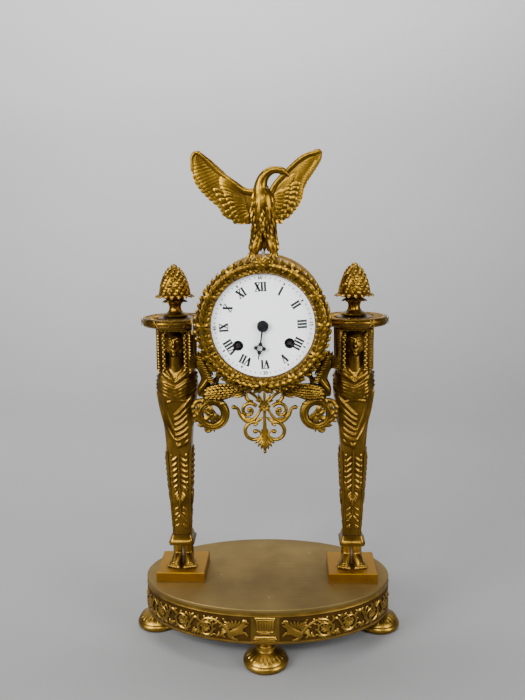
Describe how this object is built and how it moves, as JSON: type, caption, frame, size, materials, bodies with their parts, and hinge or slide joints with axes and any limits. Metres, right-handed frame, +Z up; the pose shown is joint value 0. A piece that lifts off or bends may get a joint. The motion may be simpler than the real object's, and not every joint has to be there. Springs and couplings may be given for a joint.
{
  "type": "mantel clock",
  "caption": "Gilt-bronze mantel clock: a drum clock with a wreath bezel slung between draped term figures on an oval base, with a bird on top.",
  "frame": {"origin": "on the table under the centre of the oval base", "axes": "+X to the viewer's right, +Y to the back of the clock, +Z up"},
  "size_m": [0.2418, 0.1584, 0.4256],
  "materials": {
    "gilt_bronze": "fire-gilt, burnished highlights and matt recesses",
    "gilt_matte": "worn matt gilding",
    "brass_case": "lacquered brass",
    "movement_brass": "polished brass",
    "bell_metal": "turned bell metal",
    "steel": "polished steel",
    "iron": "oiled iron",
    "blued_steel": "blued steel",
    "enamel": "white vitreous enamel on copper",
    "clear_glass": "clear"
  },
  "bodies": {
    "case": {"base_band": "gilt_bronze", "base_top_plate": "gilt_matte", "base_underframe": "iron", "foot_front": "gilt_bronze", "foot_back": "gilt_bronze", "foot_left": "gilt_bronze", "foot_right": "gilt_bronze", "frieze_left": "gilt_bronze", "frieze_right": "gilt_bronze", "frieze_vase": "gilt_bronze", "column_plinth_left": "gilt_bronze", "column_plinth_right": "gilt_bronze", "figure_feet_left": "gilt_bronze", "figure_feet_right": "gilt_bronze", "figure_left": "gilt_bronze", "figure_right": "gilt_bronze", "capital_disc_left": "gilt_bronze", "capital_disc_right": "gilt_bronze", "pinecone_left": "gilt_bronze", "pinecone_right": "gilt_bronze", "griffin_left": "gilt_bronze", "griffin_right": "gilt_bronze", "pendant": "gilt_bronze", "bird_body": "gilt_bronze", "bird_wings": "gilt_bronze", "tie_rods": "iron", "base_nuts": "iron", "drum_screws": "iron", "hinge_pins": "steel", "drum_case": "brass_case", "front_ring": "brass_case", "rear_ring": "brass_case", "dial": "enamel", "key_hole_grommets": "movement_brass", "movement_front_plate": "movement_brass", "movement_back_plate": "movement_brass", "movement_straps": "steel", "suspension_cock": "movement_brass", "bell": "bell_metal", "bell_stand": "steel"},
    "bezel_door": {"bezel_wreath": "gilt_bronze", "bezel_glass": "clear_glass"},
    "back_door": {"back_door": "brass_case"},
    "minute_train": {"centre_arbor": "movement_brass", "minute_hand": "blued_steel"},
    "hour_train": {"hour_wheel": "movement_brass", "hour_hand": "blued_steel"},
    "minute_wheel": {"minute_wheel": "movement_brass"},
    "intermediate_wheel": {"intermediate_wheel": "movement_brass"},
    "going_barrel": {"going_barrel": "movement_brass"},
    "third_wheel": {"third_wheel": "movement_brass"},
    "escape_wheel": {"escape_wheel": "movement_brass"},
    "pallet_anchor": {"pallet_anchor": "steel"},
    "pendulum": {"pendulum": "movement_brass"},
    "strike_barrel": {"strike_barrel": "movement_brass"},
    "strike_wheel": {"strike_wheel": "movement_brass", "count_wheel": "movement_brass"},
    "bell_hammer": {"bell_hammer": "steel"},
    "winding_arbor_going": {"winding_arbor_going": "steel"},
    "winding_arbor_strike": {"winding_arbor_strike": "steel"}
  },
  "joints": [
    {"name": "bezel_swing", "type": "hinge", "parent": "case", "child": "bezel_door", "pos_m": [-0.0566, -0.038, 0.2847], "axis": [0, 0, -1], "range_deg": [0, 105]},
    {"name": "back_door_swing", "type": "hinge", "parent": "case", "child": "back_door", "pos_m": [0.0566, 0.0424, 0.2847], "axis": [0, 0, -1], "range_deg": [0, 105]},
    {"name": "minute_hand_turn", "type": "hinge", "parent": "case", "child": "minute_train", "pos_m": [0, 0, 0.2847], "axis": [0, -1, 0], "continuous": true},
    {"name": "hour_hand_turn", "type": "hinge", "parent": "case", "child": "hour_train", "pos_m": [0, 0, 0.2847], "axis": [0, -1, 0], "continuous": true},
    {"name": "minute_wheel_turn", "type": "hinge", "parent": "case", "child": "minute_wheel", "pos_m": [-0.00063, 0, 0.29909], "axis": [0, -1, 0], "continuous": true},
    {"name": "intermediate_wheel_turn", "type": "hinge", "parent": "case", "child": "intermediate_wheel", "pos_m": [0.01439, 0, 0.28507], "axis": [0, -1, 0], "continuous": true},
    {"name": "going_barrel_turn", "type": "hinge", "parent": "case", "child": "going_barrel", "pos_m": [0.02154, 0, 0.27053], "axis": [0, -1, 0], "continuous": true},
    {"name": "third_wheel_turn", "type": "hinge", "parent": "case", "child": "third_wheel", "pos_m": [-0.00059, 0, 0.29819], "axis": [0, -1, 0], "continuous": true},
    {"name": "escape_wheel_turn", "type": "hinge", "parent": "case", "child": "escape_wheel", "pos_m": [-0.00106, 0, 0.30898], "axis": [0, -1, 0], "continuous": true},
    {"name": "pendulum_swing", "type": "hinge", "parent": "case", "child": "pendulum", "pos_m": [-0.00154, 0, 0.31997], "axis": [0, -1, 0], "range_deg": [-3, 3]},
    {"name": "anchor_rock", "type": "hinge", "parent": "case", "child": "pallet_anchor", "pos_m": [-0.00154, 0, 0.31997], "axis": [0, -1, 0], "range_deg": [-3, 3]},
    {"name": "strike_barrel_turn", "type": "hinge", "parent": "case", "child": "strike_barrel", "pos_m": [-0.02022, 0, 0.2687], "axis": [0, -1, 0], "continuous": true},
    {"name": "strike_wheel_turn", "type": "hinge", "parent": "case", "child": "strike_wheel", "pos_m": [-0.01437, 0, 0.28381], "axis": [0, -1, 0], "continuous": true},
    {"name": "hammer_swing", "type": "hinge", "parent": "case", "child": "bell_hammer", "pos_m": [-0.02789, 0, 0.30901], "axis": [0, -1, 0], "range_deg": [-12, 3]},
    {"name": "going_winding", "type": "hinge", "parent": "case", "child": "winding_arbor_going", "pos_m": [0.02154, 0, 0.27053], "axis": [0, -1, 0], "continuous": true},
    {"name": "strike_winding", "type": "hinge", "parent": "case", "child": "winding_arbor_strike", "pos_m": [-0.02022, 0, 0.2687], "axis": [0, -1, 0], "continuous": true}
  ],
  "couplings": [
    {"joint": "hour_hand_turn", "follows": "minute_hand_turn", "ratio": 0.083333},
    {"joint": "minute_wheel_turn", "follows": "minute_hand_turn", "ratio": -0.33333},
    {"joint": "intermediate_wheel_turn", "follows": "minute_hand_turn", "ratio": -0.2},
    {"joint": "going_barrel_turn", "follows": "minute_hand_turn", "ratio": 0.04},
    {"joint": "third_wheel_turn", "follows": "minute_hand_turn", "ratio": -4},
    {"joint": "escape_wheel_turn", "follows": "minute_hand_turn", "ratio": 12},
    {"joint": "anchor_rock", "follows": "pendulum_swing", "ratio": 1},
    {"joint": "strike_wheel_turn", "follows": "strike_barrel_turn", "ratio": -5}
  ]
}
